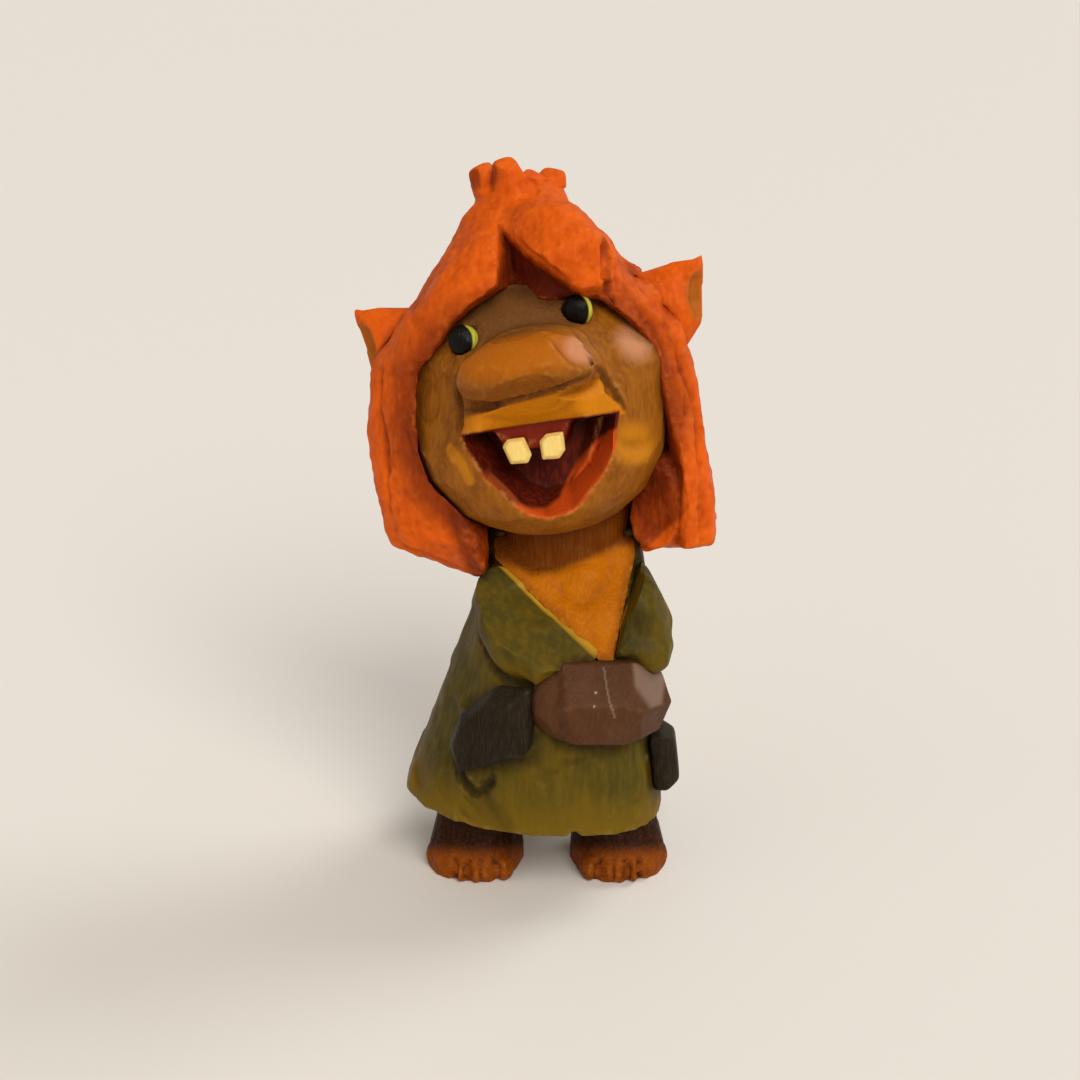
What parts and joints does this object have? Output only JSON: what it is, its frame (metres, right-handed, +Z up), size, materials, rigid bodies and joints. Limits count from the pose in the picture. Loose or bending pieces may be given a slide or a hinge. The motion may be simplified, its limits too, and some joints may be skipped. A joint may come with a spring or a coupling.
{
  "type": "carved wooden troll figure",
  "caption": "Carved and painted wooden troll with a laughing face, orange hair and pointed ears, in a green coat with its hands in a muff, standing on broad bare feet.",
  "frame": {"origin": "middle of the figure's outline on the surface that its soles stand on", "axes": "+Z up, the figure faces -Y and its right hand side is at -X"},
  "size_m": [0.0894, 0.0746, 0.1838],
  "materials": {
    "coat_green": "thin matt olive green paint, grain showing",
    "shirt_ochre": "thin satin ochre paint",
    "muff_brown": "matt dark brown paint, worn on its ridge",
    "pouch_dark": "matt dark paint over a hatched cut",
    "skin_tan": "satin tan wash with dark in the cuts, red inside the mouth",
    "hair_orange": "thick matt orange paint, stippled",
    "foot_brown": "satin brown wash",
    "tooth_cream": "cream gloss paint",
    "eye_black": "black gloss paint",
    "bare_wood": "bare turned dowel"
  },
  "bodies": {
    "root": {"coat_body": "coat_green", "shirt_front": "shirt_ochre", "sleeve_right": "coat_green", "sleeve_left": "coat_green", "hand_muff": "muff_brown", "pouch_right": "pouch_dark", "pouch_left": "pouch_dark", "foot_right": "foot_brown", "foot_left": "foot_brown", "head_block": "skin_tan", "hair_cap": "hair_orange", "hair_tuft": "hair_orange", "ear_right": "hair_orange", "ear_left": "hair_orange", "eye_right": "eye_black", "eye_left": "eye_black", "tooth_right": "tooth_cream", "tooth_left": "tooth_cream", "neck_dowel": "bare_wood", "muff_dowel": "bare_wood", "leg_dowels": "bare_wood", "sleeve_dowels": "bare_wood", "pouch_pegs": "bare_wood", "tuft_peg": "bare_wood", "ear_pegs": "bare_wood"}
  },
  "joints": []
}
